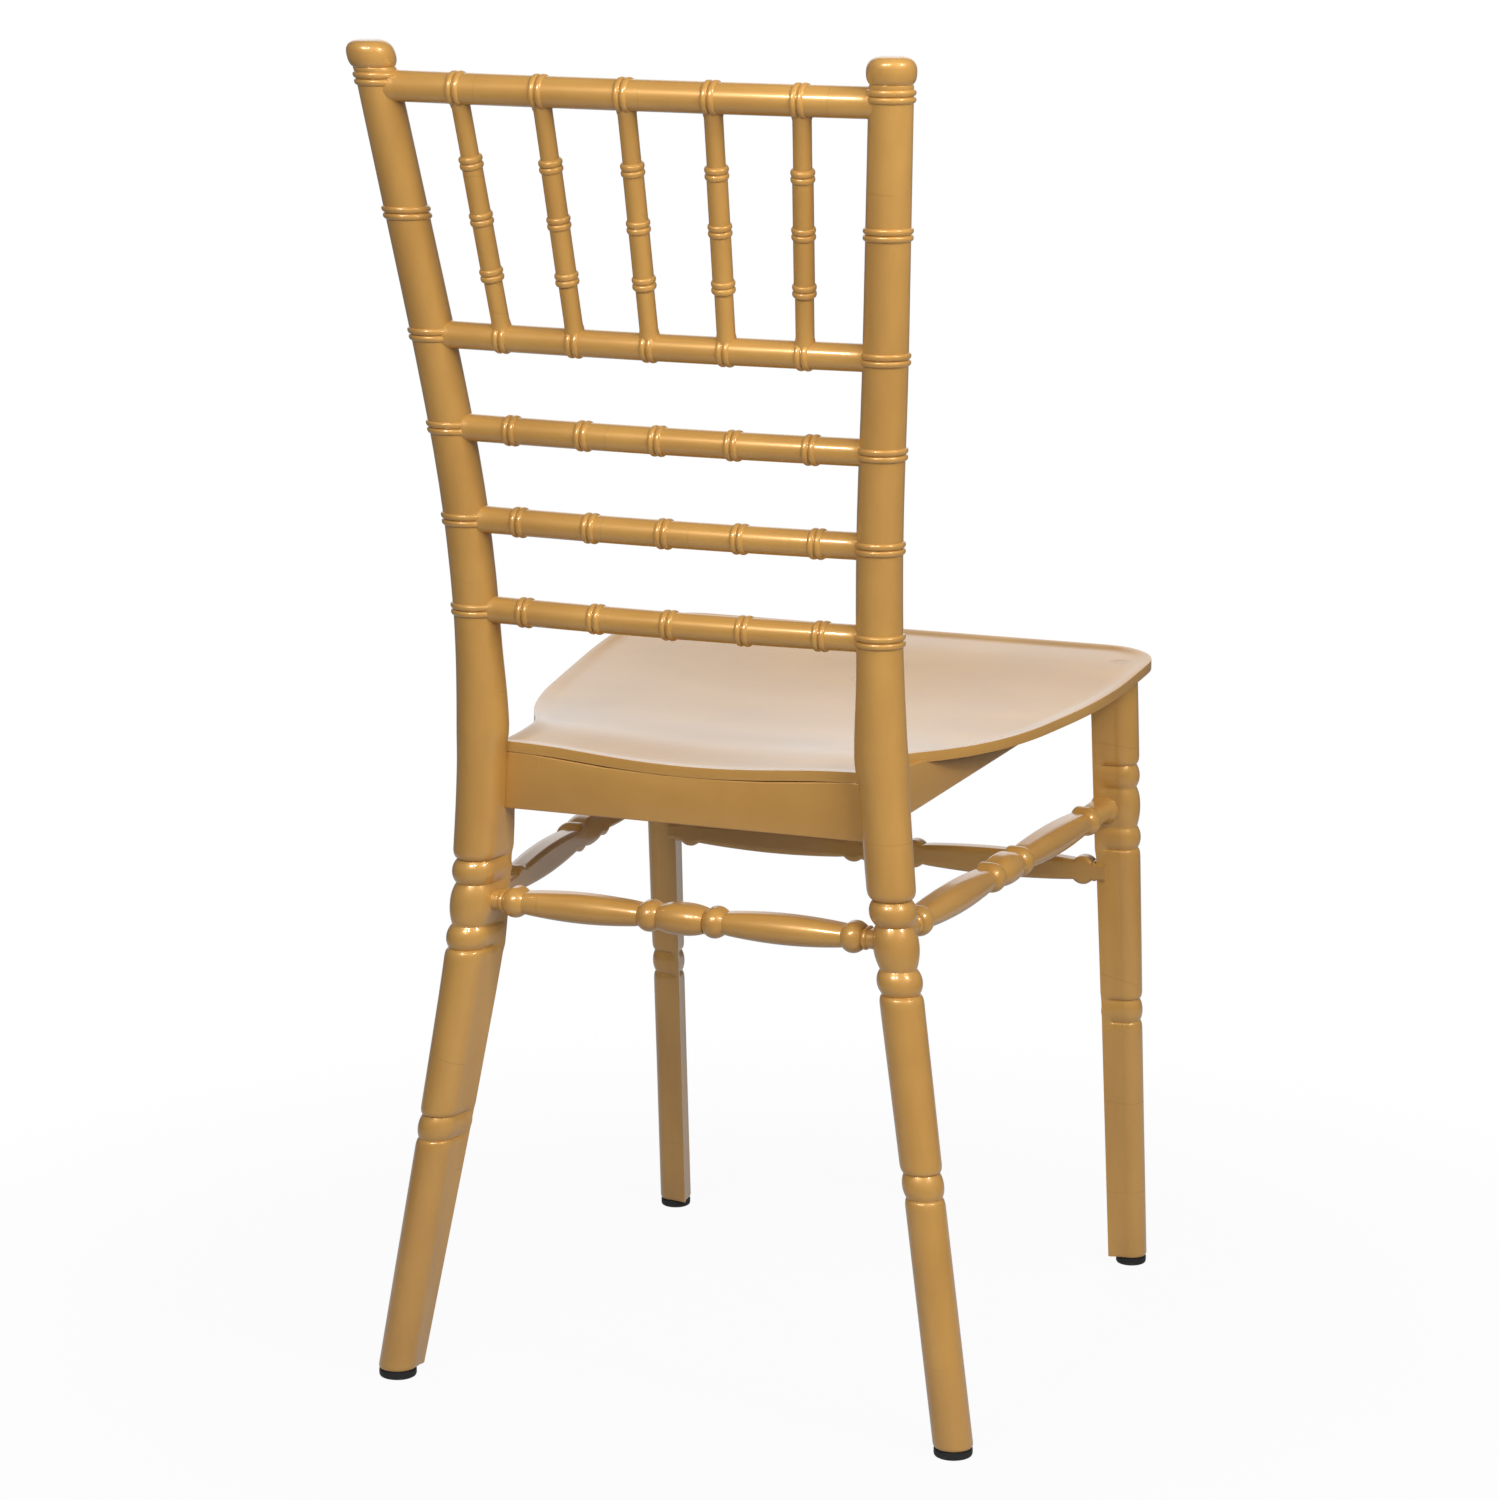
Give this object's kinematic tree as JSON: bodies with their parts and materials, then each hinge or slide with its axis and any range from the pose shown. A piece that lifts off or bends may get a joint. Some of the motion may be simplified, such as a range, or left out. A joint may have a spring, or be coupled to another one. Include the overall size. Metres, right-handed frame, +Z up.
{
  "type": "banquet chair",
  "caption": "Gold resin banquet chair with bamboo-style turned posts, rails and spindles, a thin dished seat and black push-in glides.",
  "frame": {"origin": "middle of the overall box, on the floor", "axes": "+Z up, -Y the way the sitter faces, +X to the sitter's left"},
  "size_m": [0.4332, 0.5174, 0.9159],
  "materials": {
    "gold_resin": "pearl gold moulded resin, semi-gloss",
    "black_foot": "matt black glide"
  },
  "bodies": {
    "root": {"left_back_post": "gold_resin", "right_back_post": "gold_resin", "crest_rail": "gold_resin", "spindle_rail": "gold_resin", "upper_back_rail": "gold_resin", "middle_back_rail": "gold_resin", "lower_back_rail": "gold_resin", "spindle_1": "gold_resin", "spindle_2": "gold_resin", "spindle_3": "gold_resin", "spindle_4": "gold_resin", "spindle_5": "gold_resin", "seat": "gold_resin", "rear_apron": "gold_resin", "left_apron": "gold_resin", "right_apron": "gold_resin", "left_front_leg": "gold_resin", "right_front_leg": "gold_resin", "front_stretcher": "gold_resin", "rear_stretcher": "gold_resin", "left_stretcher": "gold_resin", "right_stretcher": "gold_resin", "left_front_foot": "black_foot", "right_front_foot": "black_foot", "left_rear_foot": "black_foot", "right_rear_foot": "black_foot"}
  },
  "joints": []
}
